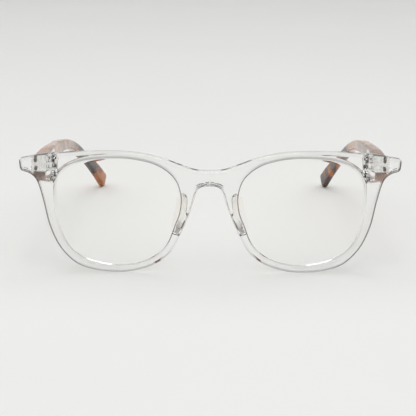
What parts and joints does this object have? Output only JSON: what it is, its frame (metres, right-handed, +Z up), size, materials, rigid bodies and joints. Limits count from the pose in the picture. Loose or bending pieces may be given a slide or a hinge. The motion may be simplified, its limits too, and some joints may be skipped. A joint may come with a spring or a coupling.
{
  "type": "blue light glasses",
  "caption": "Full-rim screen glasses with a clear front, blue-filter lenses and folding tortoiseshell temples on barrel hinges.",
  "frame": {"origin": "middle of the width and depth of the open glasses, on the surface they stand on", "axes": "+Z up, the front faces -Y, the temples run back along +Y, +X is the wearer's left"},
  "size_m": [0.1438, 0.1408, 0.0468],
  "materials": {
    "crystal_acetate": "polished crystal-clear acetate",
    "filter_lens": "clear polycarbonate with a blue-filter coating",
    "pad_acetate": "polished clear acetate, slightly warm",
    "tortoise_acetate": "polished tortoiseshell acetate, amber with dark brown patches",
    "hinge_metal": "nickel silver, lightly brushed",
    "rivet_metal": "nickel silver",
    "screw_steel": "steel with a slotted head",
    "wire_metal": "drawn nickel silver"
  },
  "bodies": {
    "front": {"front_frame": "crystal_acetate", "lens_left": "filter_lens", "lens_right": "filter_lens", "nose_pad_left": "pad_acetate", "nose_pad_right": "pad_acetate", "front_hinge_left": "hinge_metal", "front_hinge_right": "hinge_metal", "front_hinge_rivets_left": "rivet_metal", "front_hinge_rivets_right": "rivet_metal", "hinge_screw_left": "screw_steel", "hinge_screw_right": "screw_steel"},
    "temple_left": {"temple_left": "tortoise_acetate", "temple_hinge_left": "hinge_metal", "temple_rivets_left": "rivet_metal", "temple_core_wire_left": "wire_metal"},
    "temple_right": {"temple_right": "tortoise_acetate", "temple_hinge_right": "hinge_metal", "temple_rivets_right": "rivet_metal", "temple_core_wire_right": "wire_metal"}
  },
  "joints": [
    {"name": "temple_left_fold", "type": "hinge", "parent": "front", "child": "temple_left", "pos_m": [0.061, -0.05604, 0.0404], "axis": [0, 0, 1], "range_deg": [0, 88]},
    {"name": "temple_right_fold", "type": "hinge", "parent": "front", "child": "temple_right", "pos_m": [-0.061, -0.05604, 0.0404], "axis": [0, 0, -1], "range_deg": [0, 81]}
  ]
}
